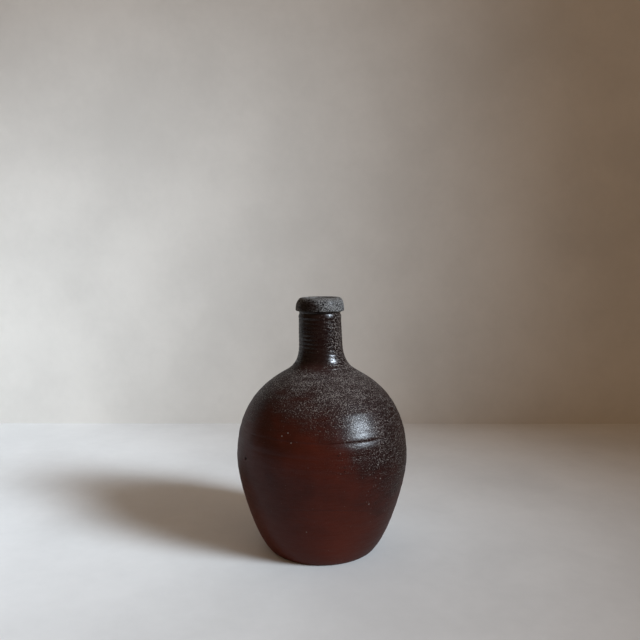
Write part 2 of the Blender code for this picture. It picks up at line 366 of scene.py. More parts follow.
class BottleStudio(bpy.types.PropertyGroup):
    """The floor, the wall, the window and the fill light."""

    floor_color: color("Pale plaster of the floor", (0.68, 0.67, 0.66))
    wall_color: color("Pale plaster of the wall", (0.60, 0.57, 0.53))
    window_color: color("Colour of the daylight", (0.763, 0.885, 1.0))
    window_power: FloatProperty(description="Power of the daylight", default=9.8, unit="POWER")
    window_size: length("Width of the window", 1.09)
    room_color: color("Colour of the room's dim light", (1.0, 0.68, 0.43))
    room_strength: FloatProperty(description="Strength of the room's light", default=0.31, min=0)


def shape_settings():
    return bpy.context.scene.sake_bottle_shape


def kiln_settings():
    return bpy.context.scene.sake_bottle_kiln


def studio_settings():
    return bpy.context.scene.sake_bottle_studio


# --- Outlines of the CAD sections

def section_outline(node):
    """A section's outline in the half-plane towards +X, as (radius, height) points.

    It runs up the outside and down the inside.  One that reaches the axis starts and ends there.
    """
    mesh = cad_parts[node].data
    places = {}
    for vert in mesh.vertices:
        if abs(vert.co.y) < TOUCH and vert.co.x > -TOUCH:
            places[vert.index] = (round(vert.co.x, ROUNDING), round(vert.co.z, ROUNDING))
    links = {}
    for edge in mesh.edges:
        first, second = (places.get(index) for index in edge.vertices)
        if first and second and first != second:
            links.setdefault(first, set()).add(second)
            links.setdefault(second, set()).add(first)
    ends = [place for place, others in links.items() if len(others) == 1]
    walk = [min(ends or links, key=lambda place: place[1])]
    while onward := links[walk[-1]] - set(walk):
        walk.append(max(onward))
    outline = np.array(walk)
    if ends:
        first, last = outline[0], outline[-1]
        return np.vstack([(0, first[1]), outline, (0, last[1])]), False
    return outline, True


def outline_runs(node):
    """The outline cut at its corners and beside its level faces, as a list of runs of points."""
    outline, closed = section_outline(node)
    steps = np.diff(np.vstack([outline, outline[:1]]), axis=0)
    level = (np.abs(steps[:, 1]) < TOUCH) & (np.abs(steps[:, 0]) > LEVEL_FACE)
    headings = np.arctan2(steps[:, 1], steps[:, 0])
    turns = np.abs((headings - np.roll(headings, 1) + pi) % (2 * pi) - pi)
    cuts = np.flatnonzero((turns > CORNER) | level | np.roll(level, 1))
    if not closed:
        cuts = np.unique([0, *cuts, len(outline) - 1])
        return [outline[a:b + 1] for a, b in zip(cuts, cuts[1:])]
    loop = np.vstack([outline, outline])
    ends = [*cuts[1:], cuts[0] + len(outline)]
    return [loop[a:b + 1] for a, b in zip(cuts, ends)]


def outside_index(runs):
    """Which run is the section's outside: of those that curve, the one furthest from the axis."""
    reach = [run[:, 0].mean() if len(run) >= SMOOTH_POINTS else 0 for run in runs]
    return int(np.argmax(reach))


def distances_along(points):
    """How far along its chords each point of a run lies."""
    return np.concatenate([[0], np.cumsum(np.hypot(*np.diff(points, axis=0).T))])


def smooth_curve(points):
    """A natural cubic spline through the points, as a function of the distance along their chords.

    Returns the function, which gives positions and outward normals, and the points' distances.
    """
    points = np.asarray(points, float)
    knots = distances_along(points)
    gaps = np.diff(knots)
    count = len(points)
    system = np.eye(count)
    bends = np.zeros((count, 2))
    for i in range(1, count - 1):
        system[i, i - 1:i + 2] = gaps[i - 1], 2 * (gaps[i - 1] + gaps[i]), gaps[i]
        slopes = np.diff(points[i - 1:i + 2], axis=0) / gaps[i - 1:i + 1, None]
        bends[i] = 6 * (slopes[1] - slopes[0])
    bends = np.linalg.solve(system, bends)

    def at(distances):
        i = np.clip(np.searchsorted(knots, distances, side="right") - 1, 0, count - 2)
        gap = gaps[i][:, None]
        b = ((distances - knots[i]) / gaps[i])[:, None]
        a = 1 - b
        position = a * points[i] + b * points[i + 1]
        position += ((a**3 - a) * bends[i] + (b**3 - b) * bends[i + 1]) * gap**2 / 6
        heading = (points[i + 1] - points[i]) / gap
        heading += ((3 * b**2 - 1) * bends[i + 1] - (3 * a**2 - 1) * bends[i]) * gap / 6
        heading /= np.hypot(*heading.T)[:, None]
        return position, np.stack([heading[:, 1], -heading[:, 0]], 1)

    return at, knots


def evenly(start, end, step):
    """Distances from start to end, no further apart than a step."""
    return np.linspace(start, end, max(2, ceil((end - start) / step) + 1))


def body_skin():
    """One smooth curve up the outside of the body, and where on it each section starts and ends."""
    points = []
    spans = {}
    for node in BODY_SECTIONS:
        runs = outline_runs(node)
        outside = runs[outside_index(runs)]
        if points and np.hypot(*(outside[0] - points[-1])) < SEAM_GAP:
            outside = outside[1:]
        spans[node] = (max(len(points) - 1, 0), len(points) + len(outside) - 1)
        points.extend(outside)
    at, knots = smooth_curve(points)
    ends = {node: (knots[first], knots[last]) for node, (first, last) in spans.items()}
    return at, ends


SKIN, SKIN_ENDS = body_skin()
SEAM_HEIGHTS = {node: SKIN(np.array(ends))[0][1, 1] for node, ends in SKIN_ENDS.items()}
BELLY_SEAM = SEAM_HEIGHTS["lower_wall"]
NECK_SEAM = SEAM_HEIGHTS["upper_wall"]
RING_BASE = SEAM_HEIGHTS["neck"]
NECK_RADIUS = SKIN(np.array(SKIN_ENDS["neck"]))[0][1, 0]
RIM_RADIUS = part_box("mouth_ring")[1].x
BORE_RADIUS = min(point[0] for point in section_outline("mouth_ring")[0])
BODY_RADIUS = CAD_BOX[1].x
SKIN_HEIGHTS_AND_RADII = SKIN(evenly(0, SKIN_ENDS["neck"][1], OUTSIDE_STEP))[0].T[::-1]


# --- Marks of throwing, joining and firing: displacement along the normal, in metres

def hand_waver(azimuth, height, seed, tallest):
    """Slow unevenness, as a sum of seeded waves that close up round the bottle, about -1 to 1."""
    draw = np.random.default_rng(seed)
    total = np.zeros(np.broadcast(azimuth, height).shape)
    for _ in range(WAVER_WAVES):
        lobes = draw.integers(0, WAVER_LOBES)
        rate = draw.uniform(-1, 1) * 2 * pi / tallest
        weight = 1 / (1 + lobes / 2)
        total += weight * np.cos(lobes * azimuth + rate * height + draw.uniform(0, 2 * pi))
    return total / np.sqrt(WAVER_WAVES)


def humps(line, table):
    """Smooth humps across a line, each with its strength, place and half width."""
    return sum(strength * bell(line, place, width) for strength, place, width in table)


def spiral(azimuth, height, pitch):
    """Rings that climb one pitch a turn, from -1 in the furrows to 1 on the ridges."""
    return np.sin(2 * pi * height / pitch + azimuth)


def body_relief(azimuth, height):
    """The outside of the body and the neck."""
    shape = shape_settings()
    clear_of_foot = rise(height, *FOOT_CLEAR)
    on_neck = rise(height - NECK_SEAM, *NECK_BLEND)
    below_ring = rise(RING_BASE - height, *RING_SHELTER)
    pull = shape.oval * np.cos(2 * (azimuth - OVAL_AZIMUTH)) * (1 - on_neck)
    waver = shape.waver * hand_waver(azimuth, height, WAVER_SEED, WAVER_REACH)
    waver = waver * (1 - NECK_CALM * on_neck)
    drift = RING_DRIFT * hand_waver(azimuth, height, WAVER_SEED + 1, RING_DRIFT_REACH)
    rings = spiral(azimuth, height + drift, BODY_RING_PITCH)
    rings = rings + BODY_RING_SECOND * spiral(azimuth, height - drift, BODY_RING_SECOND_PITCH)
    fading = hand_waver(azimuth, height, WAVER_SEED + 2, BODY_RING_REACH)
    rings = rings * grown(fading, *BODY_RING_FADE) * (1 - on_neck)
    neck_rings = spiral(azimuth, height + NECK_RING_DRIFT * drift, NECK_RING_PITCH)
    fading = hand_waver(azimuth, height, WAVER_SEED + 3, NECK_RING_REACH)
    neck_rings = neck_rings * grown(fading, *NECK_RING_FADE) * on_neck
    relief = (pull + waver + shape.ring_depth * rings) * clear_of_foot
    relief = relief + shape.neck_ring_depth * neck_rings
    relief = relief + belly_lines(azimuth, height) + trimming_line(azimuth, height)
    relief = relief + neck_marks(azimuth, height) - pit(azimuth, height)
    return relief * below_ring


def belly_lines(azimuth, height):
    """The line that the joined sections show round the belly, and a fainter one below it."""
    away = turned_away(azimuth, BELLY_AZIMUTH)
    strength = grown(bell(away, 0, BELLY_REACH), *BELLY_SHOW)
    strength = strength + BELLY_BEHIND * bell(np.abs(away), pi, BELLY_BACK_REACH)
    wander = sum(tall * np.sin(lobes * azimuth + phase) for lobes, tall, phase in BELLY_WANDER)
    line = height - BELLY_SEAM + wander * (1 - bell(away, 0, BELLY_STEADY))
    lip = BELLY_LIP * rise(line, 0, BELLY_LIP_RISE) * (1 - rise(line, *BELLY_LIP_FALL))
    return shape_settings().belly_line_depth * strength * (lip + humps(line, BELLY_HUMPS))


def trimming_line(azimuth, height):
    """A fine step at the front where the trimming tool left the wall."""
    away = turned_away(azimuth, TRIM_AZIMUTH)
    line = height - (TRIM_HEIGHT - TRIM_FALL * (away / TRIM_FALL_REACH) ** 2)
    step = rise(line, -TRIM_EDGE, TRIM_EDGE) - rise(line, 0, TRIM_SLOPE) + humps(line, TRIM_GROOVE)
    return TRIM_DEPTH * bell(away, *TRIM_SPAN) * step


def neck_marks(azimuth, height):
    """The line over the neck seam, and the bead and groove below the mouth ring."""
    shape = shape_settings()
    away = turned_away(azimuth, NECK_LINE_AZIMUTH)
    strength = grown(bell(away, 0, NECK_LINE_REACH), *NECK_LINE_SHOW)
    seam = shape.neck_line_depth * strength * humps(height - NECK_SEAM, NECK_LINE_HUMPS)
    bead = shape.bead_height * bell(height - RING_BASE, *BEAD)
    groove = shape.groove_depth * bell(height - RING_BASE, *GROOVE)
    return seam + bead - groove


def pit(azimuth, height):
    """A pit where a grain of sand burst out of the wall."""
    across = turned_away(azimuth, PIT_AZIMUTH) * BODY_RADIUS
    distance = np.hypot(across, (height - PIT_HEIGHT) * PIT_SQUASH)
    hollow = 1 - rise(distance, PIT_FLOOR, PIT_RADIUS)
    return shape_settings().pit_depth * (hollow - humps(distance, PIT_LIP))


def rim_relief(azimuth, radius, height):
    """The mouth ring: uneven round its side, with its top edge worn rounder towards -X."""
    shoulder = bell(height - RING_BASE, *RIM_SHOULDER) * rise(radius - NECK_RADIUS, *RIM_SIDE)
    uneven = RIM_WAVER * hand_waver(azimuth, height, WAVER_SEED + 4, RIM_WAVER_REACH)
    return shoulder * (RIM_WORN * np.sin(azimuth) - RIM_WORN_ROUND) + uneven


def inside_relief(azimuth, height):
    """Finger rings inside, deeper than those outside because nobody smoothed them."""
    calm = 1 - BORE_CALM * rise(height - NECK_SEAM, *BORE_START)
    waver = hand_waver(azimuth, height, WAVER_SEED + 5, INSIDE_WAVER_REACH)
    rings = spiral(azimuth, height + waver * INSIDE_DRIFT, INSIDE_RING_PITCH)
    return shape_settings().inside_ring_depth * calm * (rings + INSIDE_WAVER * waver)


def wire_marks(azimuth, radius):
    """Shell-like arcs that the twisted cutting wire left, always into the clay."""
    x = radius * np.sin(azimuth) - WIRE_CENTRE[0]
    y = -radius * np.cos(azimuth) - WIRE_CENTRE[1]
    distance = np.hypot(x, WIRE_SQUASH * y)
    shake = WIRE_SHAKE * np.sin(WIRE_SHAKES * azimuth)
    arcs = (1 + np.sin(2 * pi * distance / WIRE_PITCH + shake)) / 2
    return shape_settings().wire_depth * arcs * (1 - rise(radius, *WIRE_FADE))


def floor_spiral(azimuth, radius):
    """The spiral that the fingers left on the floor inside."""
    swirl = np.sin(2 * pi * radius / FLOOR_RING_PITCH - azimuth) * rise(radius, *FLOOR_RING_START)
    return FLOOR_RING_DEPTH * swirl * (1 - rise(radius, *FLOOR_RING_END))


def lean(height):
    """How far the neck has leant towards -X by a height."""
    return shape_settings().neck_lean * rise(height, *LEAN_HEIGHTS)


# --- Turning a section

def run_rows(node, runs, index):
    """Dense points along one run of an outline, their outward normals, and their kind of face."""
    run = runs[index]
    outside = outside_index(runs)
    if index == outside:
        kind = "outside"
    elif len(run) >= SMOOTH_POINTS:
        kind = "inside"
    elif min(run[0][0], run[-1][0]) < TOUCH:
        kind = "underside" if run[0][1] < TOUCH else "floor"
    else:
        kind = "joint"
    step = STEPS[kind]
    if kind == "outside" and node != "lower_wall" and node != "upper_wall":
        step = FINE_STEP
    if kind == "outside" and node in SKIN_ENDS:
        points, facing = SKIN(evenly(*SKIN_ENDS[node], step))
    else:
        curve, knots = smooth_curve(run)
        points, facing = curve(evenly(0, knots[-1], step))
    if kind == "joint" and index == (outside - 1) % len(runs) and node in SKIN_ENDS:
        points[-1] += (run[0] - run[-1]) / np.hypot(*(run[0] - run[-1])) * SEAM_TUCK
    return points, facing, [kind] * len(points)


def section_rows(node):
    """The whole outline as rows: points, outward normals and kinds.  The outside owns its two ends."""
    runs = outline_runs(node)
    parts = [run_rows(node, runs, index) for index in range(len(runs))]
    points = np.vstack([part[0] for part in parts])
    facing = np.vstack([part[1] for part in parts])
    kinds = np.concatenate([part[2] for part in parts])
    same = np.hypot(*(np.roll(points, -1, axis=0) - points).T) < TOUCH
    outer = kinds == "outside"
    kept = ~((same & ~outer) | np.roll(same & outer, 1))
    return points[kept], facing[kept], kinds[kept]


def fired_positions(node, points, facing, kinds, azimuth):
    """Where the vertices of each row lie, with the marks and the lean of the fired bottle."""
    radius = np.repeat(points[:, :1], len(azimuth), axis=1)
    height = np.repeat(points[:, 1:], len(azimuth), axis=1)
    turn = np.broadcast_to(azimuth, radius.shape)
    relief = np.zeros(radius.shape)
    rows = kinds == "outside"
    if node == "mouth_ring":
        relief[rows] = rim_relief(turn[rows], radius[rows], height[rows])
    else:
        relief[rows] = body_relief(turn[rows], height[rows])
    rows = kinds == "inside"
    relief[rows] = inside_relief(turn[rows], height[rows]) * joint_clearance(points[rows])
    rows = kinds == "underside"
    relief[rows] = -wire_marks(turn[rows], radius[rows])
    rows = kinds == "floor"
    relief[rows] = floor_spiral(turn[rows], radius[rows])
    radius = radius + relief * facing[:, :1]
    height = np.maximum(height + relief * facing[:, 1:], 0)
    x = radius * np.sin(turn) - lean(height)
    y = -radius * np.cos(turn)
    if node == "mouth_ring":
        height = height - rim_fall(turn, radius, height)
    return np.stack([x, y, height], -1)


def joint_clearance(points):
    """0 at the ends of a run and 1 away from them, so that joints keep their gap."""
    along = distances_along(points)
    clearance = rise(along, 0, JOINT_MARGIN) * rise(along[-1] - along, 0, JOINT_MARGIN)
    return clearance[:, None]


def rim_fall(azimuth, radius, height):
    """How far the top of the mouth ring has sunk at each place: most towards -X."""
    sunk = (1 - np.sin(azimuth - RIM_FALL_AZIMUTH) * radius / RIM_RADIUS) / 2
    return shape_settings().rim_tilt * sunk * rise(height, RING_BASE + RIM_FALL_START, TOTAL_HEIGHT)


def turned_mesh(name, positions, points, kinds, finishes):
    """A mesh from rows of vertices round the axis, with a map that gives the outside most room."""
    count, around = positions.shape[:2]
    on_axis = points[:, 0] < TOUCH
    sizes = np.where(on_axis, 1, around)
    starts = np.concatenate([[0], np.cumsum(sizes)[:-1]])
    column = np.arange(around)
    ids = starts[:, None] + np.where(on_axis[:, None], 0, column)
    verts = np.vstack([row[:size] for row, size in zip(positions, sizes)])

    after = np.roll(np.arange(count), -1)
    strips = np.arange(count - 1 if on_axis.any() else count)
    strip_kinds = np.where(kinds[strips] == "outside", kinds[after[strips]], kinds[strips])
    widths = np.hypot(*(points[after[strips]] - points[strips]).T)
    widths = widths * [TEXTURE_SHARE[kind] for kind in strip_kinds]
    v = np.concatenate([[0], np.cumsum(widths)]) / widths.sum()

    used = [kind for kind in finishes if kind in strip_kinds]
    faces = []
    corners = []
    slots = []
    following = (column + 1) % around
    left, right = column / around, (column + 1) / around
    for strip in strips:
        low, high = ids[strip], ids[after[strip]]
        quad = np.stack([low, low[following], high[following], high], 1)
        spots = (left, v[strip]), (right, v[strip]), (right, v[strip + 1]), (left, v[strip + 1])
        map_quad = np.stack([np.stack([u, np.full(around, up)], 1) for u, up in spots], 1)
        if on_axis[strip]:
            quad, map_quad = quad[:, 1:], map_quad[:, 1:]
        elif on_axis[after[strip]]:
            quad, map_quad = quad[:, :3], map_quad[:, :3]
        faces += quad.tolist()
        corners.append(map_quad.reshape(-1, 2))
        slots += [used.index(strip_kinds[strip])] * around

    mesh = bpy.data.meshes.new(name)
    mesh.from_pydata(verts, [], faces)
    layer = mesh.uv_layers.new(name="OFBake")
    layer.uv.foreach_set("vector", np.vstack(corners).astype(np.float32).ravel())
    for kind in used:
        mesh.materials.append(finishes[kind])
    mesh.polygons.foreach_set("material_index", slots)
    mesh.shade_smooth()
    mesh.set_sharp_from_angle(angle=SHARP)
    mesh.validate()
    return mesh


def add_section(node, finishes):
    """Turn one section, give it its finishes, and let it stand for its CAD node."""
    points, facing, kinds = section_rows(node)
    azimuth = np.linspace(0, 2 * pi, ROUND, endpoint=False)
    positions = fired_positions(node, points, facing, kinds, azimuth)
    name = node + "_fired"
    piece = bpy.data.objects.new(name, turned_mesh(name, positions, points, kinds, finishes))
    bpy.context.scene.collection.objects.link(piece)
    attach(piece, "root")
    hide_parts(node)
    return piece


# --- Finishes: shader maths as expressions

class Reading:
    """A value that changes over the surface.  Arithmetic on it adds Math nodes to its finish."""

    def __init__(self, finish, node, output):
        self.finish = finish
        self.node = node
        self.socket = node.outputs[output]

    def maths(self, operation, first, second):
        """Arithmetic as a Math node."""
        return self.finish.node("Math", {"operation": operation}, {0: first, 1: second})

    def other(self, output):
        """Another output of the same node."""
        return Reading(self.finish, self.node, output)

    __add__ = lambda a, b: a.maths("ADD", a, b)
    __radd__ = lambda a, b: a.maths("ADD", b, a)
    __sub__ = lambda a, b: a.maths("SUBTRACT", a, b)
    __rsub__ = lambda a, b: a.maths("SUBTRACT", b, a)
    __mul__ = lambda a, b: a.maths("MULTIPLY", a, b)
    __rmul__ = lambda a, b: a.maths("MULTIPLY", b, a)
    __truediv__ = lambda a, b: a.maths("DIVIDE", a, b)
    __pow__ = lambda a, b: a.maths("POWER", a, b)


class Finish:
    """The node tree of one fired finish."""

    def __init__(self, name):
        self.material = bpy.data.materials.new(name)
        self.material.use_nodes = True
        self.tree = self.material.node_tree
        self.tree.nodes.clear()

    def node(self, kind, settings=None, inputs=None, output=0):
        """Add a node of a type with its settings, then the values or links of its sockets."""
        added = self.tree.nodes.new("ShaderNode" + kind)
        for name, value in (settings or {}).items():
            setattr(added, name, value)
        for name, value in (inputs or {}).items():
            if isinstance(value, Reading):
                self.tree.links.new(value.socket, added.inputs[name])
            else:
                added.inputs[name].default_value = value
        return Reading(self, added, output)

    def step(self, value, low, high):
        """A smooth step from 0 to 1 as the value goes from low to high."""
        return self.node(
            "MapRange", {"interpolation_type": "SMOOTHSTEP"},
            {"Value": value, "From Min": low, "From Max": high})

    def blend(self, amount, first, second):
        """One colour laid over another by an amount."""
        colors = {0: amount}
        for socket, value in ((6, first), (7, second)):
            colors[socket] = value if isinstance(value, Reading) else (*value, 1)
        return self.node("Mix", {"data_type": "RGBA"}, colors, 2)

    def place(self):
        """Where a point of the surface lies, in metres."""
        return self.node("TexCoord", output="Object")

    def grain(self, place, size, detail, roughness=0.5, flatness=1):
        """Cloudy noise with grains of a size in metres, mostly from 0.3 to 0.7."""
        place = self.node(
            "VectorMath", {"operation": "MULTIPLY"}, {0: place, 1: (1, 1, flatness)})
        return self.node("TexNoise", None, {
            "Vector": place, "Scale": 1 / size, "Detail": detail, "Roughness": roughness})

    def specks(self, place, spacing, radius, kept):
        """1 on small round specks, which lie in a kept share of cells of a spacing, 0 elsewhere."""
        cells = self.node("TexVoronoi", None, {"Vector": place, "Scale": 1 / spacing})
        lot = self.node("SeparateColor", None, {"Color": cells.other("Color")})
        chosen = self.step(kept - lot, -SPECK_CHANCE_EDGE, SPECK_CHANCE_EDGE)
        return self.step(cells, radius * SPOT_END, radius * SPOT_FULL) * chosen

    def bump(self, height, depth):
        """Fine relief, where a height of 1 stands a depth above 0."""
        return self.node("Bump", None, {"Height": height, "Distance": depth})

    def surface(self, sockets):
        """The shader that light meets."""
        shader = self.node("BsdfPrincipled", None, sockets)
        seen = self.tree.nodes.new("ShaderNodeOutputMaterial")
        self.tree.links.new(shader.socket, seen.inputs["Surface"])
        return self.material


class FiredOutside:
    """What every finish on the outside reads from a place: its height, its side and its ash."""

    def __init__(self, finish):
        kiln = kiln_settings()
        self.finish = finish
        self.place = finish.place()
        split = finish.node("SeparateXYZ", None, {0: self.place})
        self.height = split.other("Z")
        x = split + shape_settings().neck_lean * finish.step(self.height, *LEAN_HEIGHTS)
        y = split.other("Y")
        self.radius = (x * x + y * y) ** 0.5
        self.azimuth = finish.node("Math", {"operation": "ARCTAN2"}, {0: x, 1: 0 - y})
        self.to_fire = (x * sin(FIRE_AZIMUTH) - y * cos(FIRE_AZIMUTH)) / self.radius
        self.cloud = finish.grain(self.place, *CLOUD)
        self.streak = finish.grain(self.place, *STREAK)
        drift = (self.cloud - MEAN) * ASH_CLOUD_DRIFT + (self.streak - MEAN) * ASH_STREAK_DRIFT
        fall = kiln.ash_bottom - kiln.ash_top
        edge = kiln.ash_top + fall * finish.step(self.to_fire, *ASH_SIDES)
        blown = finish.step(self.height + drift - edge, -ASH_SOFTNESS, ASH_SOFTNESS)
        settled = finish.step(self.height + drift * SHOULDER_ASH_DRIFT, *SHOULDER_ASH)
        on_neck = finish.step(self.height - NECK_SEAM, *NECK_GLAZE)
        neck_ash = finish.step(self.to_fire + (self.cloud - MEAN) * NECK_ASH_DRIFT, *NECK_ASH_SIDES)
        body_ash = 1 - (1 - blown * ASH_COVER) * (1 - settled)
        self.ash = body_ash + on_neck * (neck_ash - body_ash)
        self.settled = settled * (1 - on_neck * NECK_CLEAR)
        self.on_neck = on_neck
        self.dust = finish.grain(self.place, *DUST)
        self.bands = finish.grain(self.place, *BANDS)

    def near(self, azimuth, height, radius):
        """1 on the skin within a radius of a spot, 0 elsewhere."""
        reach = np.interp(height, *SKIN_HEIGHTS_AND_RADII).item()
        spot = (reach * sin(azimuth), -reach * cos(azimuth), height)
        distance = self.finish.node(
            "VectorMath", {"operation": "DISTANCE"}, {0: self.place, 1: spot}, "Value")
        return self.finish.step(distance, radius * NEAR_END, radius * SPOT_FULL)

    def landed_grains(self):
        """1 on the few whole grains of ash, 0 elsewhere."""
        total = 0
        for azimuth, height in ASH_GRAINS:
            total = total + self.near(radians(azimuth), height * MM, GRAIN_RADIUS)
        return total

    def pit_shade(self):
        """1 in the pit, where its shade is painted dark, 0 elsewhere."""
        return self.near(PIT_AZIMUTH, PIT_HEIGHT, PIT_SHADE_RADIUS)


def wash(finish, outside):
    """The iron glaze itself: thick and brown, thin and red in patches and towards the foot."""
    kiln = kiln_settings()
    patches = finish.grain(outside.place, *PATCHES)
    iron = finish.blend(finish.step(patches, *PATCH_EDGES), kiln.iron_brown, kiln.iron_red)
    low = finish.step(outside.height + (outside.cloud - MEAN) * FOOT_WASH_DRIFT, *FOOT_WASH)
    return finish.blend(low * FOOT_WASH_COVER, iron, kiln.foot_red)


def weighted(readings, weights):
    """The sum of several readings, each with its weight."""
    return sum(reading * weight for reading, weight in zip(readings, weights))


def glaze_finish(name, sheen, sheen_roughness):
    """Iron glaze with kiln ash over it, read from the place alone so that it runs over the seams."""
    kiln = kiln_settings()
    finish = Finish(name)
    outside = FiredOutside(finish)
    ash = outside.ash
    settled = outside.settled
    banded = outside.bands - MEAN

    flashed = finish.step(outside.to_fire, *FLASHED_SIDES) * FLASHED_COVER
    level = FINE_LEVEL - weighted((ash, settled, outside.streak - MEAN), FINE_LOWERED)
    fine = finish.step(outside.dust, level, level + FINE_EDGE)
    coarse = finish.specks(outside.place, *COARSE_SPECKS, grown(ash, *COARSE_KEPT))
    pinholes = finish.specks(outside.place, *PINHOLES, weighted((ash, settled), PINHOLES_KEPT))
    landed = outside.landed_grains()
    color = wash(finish, outside)
    for cover, tone in (
        (1 - (1 - ash * BLACK_COVER) * (1 - flashed), kiln.iron_black),
        (outside.on_neck * NECK_COVER, kiln.neck_brown),
        (weighted((settled, ash, ash * banded), VEIL), kiln.ash_veil),
        (fine * grown(ash, *FINE_SHOW), kiln.ash_grain),
        (coarse * grown(ash, *COARSE_SHOW), kiln.ash_grain),
        (pinholes * PINHOLE_SHOW, kiln.neck_brown),
        (landed * GRAIN_SHOW, kiln.ash_grain),
        # painted shade in the pit, in the neck's dark glaze colour
        (outside.pit_shade() * PIT_SHADE_SHOW, kiln.neck_brown),
    ):
        color = finish.blend(cover, color, tone)

    broken = (outside.dust - MEAN) * (grown(ash, *SHEEN_BREAK) + outside.on_neck * NECK_SHEEN_BREAK)
    broken = broken + banded * grown(outside.on_neck, *SHEEN_BANDS)
    relief = outside.dust * grown(ash, *DUST_HEIGHT)
    relief = relief + weighted((outside.bands, fine, coarse, landed), RELIEF)
    return finish.surface({
        "Base Color": color, "Specular IOR Level": MATT,
        "Roughness": grown(ash, kiln.glaze_roughness, kiln.ash_roughness - kiln.glaze_roughness),
        "Coat Weight": sheen * (1 + broken), "Coat Roughness": sheen_roughness,
        "Normal": finish.bump(relief, MM)})


def body_finish(name):
    """The glaze of the body, with its soft sheen."""
    kiln = kiln_settings()
    return glaze_finish(name, kiln.body_sheen, kiln.body_sheen_roughness)


def neck_finish(name):
    """The glaze of the neck, which shines more."""
    kiln = kiln_settings()
    return glaze_finish(name, kiln.neck_sheen, kiln.neck_sheen_roughness)


def rim_finish(name):
    """Dry ash on the mouth ring, with a dark patch of bare glaze towards the front left that is partly
    painted shade.
    """
    kiln = kiln_settings()
    finish = Finish(name)
    outside = FiredOutside(finish)
    over_base = outside.height - RING_BASE
    # partly painted shade: the bare-glaze patch lies on the side away from the light and is made wide and
    # dark to paint its shade
    around = (outside.azimuth - RIM_PATCH_AZIMUTH) / RIM_PATCH_WIDTH
    upward = (over_base - RIM_PATCH_RISE) / RIM_PATCH_HEIGHT
    banded = outside.bands - MEAN
    uneven = (outside.cloud - MEAN) * 1.4 + banded * 1.2 + (outside.dust - MEAN) * 0.8
    bare = finish.step((around * around + upward * upward) ** 0.5 + uneven, *RIM_PATCH_EDGES)
    dust = finish.step(outside.dust + banded * 0.25, *RIM_DUST_EDGES)
    ash = finish.blend(dust * 0.9, kiln.rim_shadow, kiln.rim_grey)
    # tan towards the top of the ring
    ash = finish.blend(finish.step(over_base, *RIM_TAN) * 0.45, ash, kiln.rim_tan)
    glaze = finish.blend(dust * 0.08, kiln.neck_brown, kiln.ash_grain)
    # the patch's dark glaze: partly real bare glaze, partly painted shade
    color = finish.blend(bare, ash, glaze)
    inside = finish.step(outside.radius - BORE_RADIUS, 0.9 * MM, -0.2 * MM)
    inside = inside * finish.step(outside.height - TOTAL_HEIGHT, *RIM_LINING)
    color = finish.blend(inside, color, kiln.inner_glaze)
    relief = outside.dust * (0.20 - bare * 0.14) + outside.bands * 0.03
    return finish.surface({
        "Base Color": color, "Roughness": 0.72 - bare * 0.38 - inside * 0.2, "Specular IOR Level": MATT,
        "Coat Weight": kiln.neck_sheen * (bare * 0.5 + 0.12), "Coat Roughness": kiln.neck_sheen_roughness,
        "Normal": finish.bump(relief, MM)})


def inner_finish(name):
    """Thin brown glaze that was poured in and out again."""
    kiln = kiln_settings()
    finish = Finish(name)
    place = finish.place()
    runs = finish.grain(place, *INNER_RUNS)
    dust = finish.grain(place, *INNER_DUST)
    color = finish.blend(finish.step(runs, *GRAIN_EDGES), kiln.inner_glaze, kiln.iron_brown)
    return finish.surface({
        "Base Color": color, "Roughness": 0.34 + runs * 0.2, "Normal": finish.bump(dust * 0.06, MM)})


def clay_finish(name):
    """Bare fired stoneware with its grog, toasted in patches."""
    kiln = kiln_settings()
    finish = Finish(name)
    place = finish.place()
    grog = finish.grain(place, *GROG)
    toast = finish.grain(place, *TOAST)
    color = finish.blend(finish.step(toast, *GRAIN_EDGES), kiln.bare_clay, kiln.toasted_clay)
    color = finish.blend(finish.step(grog, *GROG_EDGES) * 0.5, color, kiln.grog)
    relief = grog * 0.16 + toast * 0.1
    return finish.surface({
        "Base Color": color, "Roughness": 0.72 + grog * 0.2, "Normal": finish.bump(relief, MM)})


def plaster_finish(name, tone):
    """Smooth pale plaster with faint clouds."""
    finish = Finish(name)
    place = finish.place()
    cloud = finish.grain(place, *PLASTER_CLOUD)
    float_marks = finish.grain(place, *FLOAT_MARKS)
    shade = tuple(level * PLASTER_SHADE for level in tone)
    color = finish.blend(finish.step(cloud + float_marks * 0.15, *PLASTER_EDGES), tone, shade)
    return finish.surface({
        "Base Color": color, "Roughness": 0.62 + cloud * 0.2,
        "Normal": finish.bump(float_marks * 0.12 + cloud * 0.8, MM)})


# --- Operators

MAKERS = {
    "foot_fired": body_finish, "iron_fired": body_finish, "ash_fired": body_finish,
    "neck_fired": neck_finish, "rim_fired": rim_finish, "inside_fired": inner_finish,
    "clay_fired": clay_finish,
}


def finish_named(name):
    """A finish that several sections share, made once."""
    return bpy.data.materials.get(name) or MAKERS[name](name)


class AddsSection:
    """What the operators of the five sections share."""

    def execute(self, context):
        finishes = {kind: finish_named(name) for kind, name in self.finishes.items()}
        add_section(self.node, finishes)
        return {"FINISHED"}


class SAKEBOTTLE_OT_base_slab(AddsSection, bpy.types.Operator):
    """Turn the base slab: glazed foot edge, bare wire-cut underside, floor inside"""

    bl_idname = "sake_bottle.add_base_slab"
    bl_label = "Base slab"
    node = "base_slab"
    slot_name = "base_clay"
    finishes = {
        "outside": "foot_fired",
        "underside": "clay_fired",
        "joint": "clay_fired",
        "floor": "inside_fired",
    }


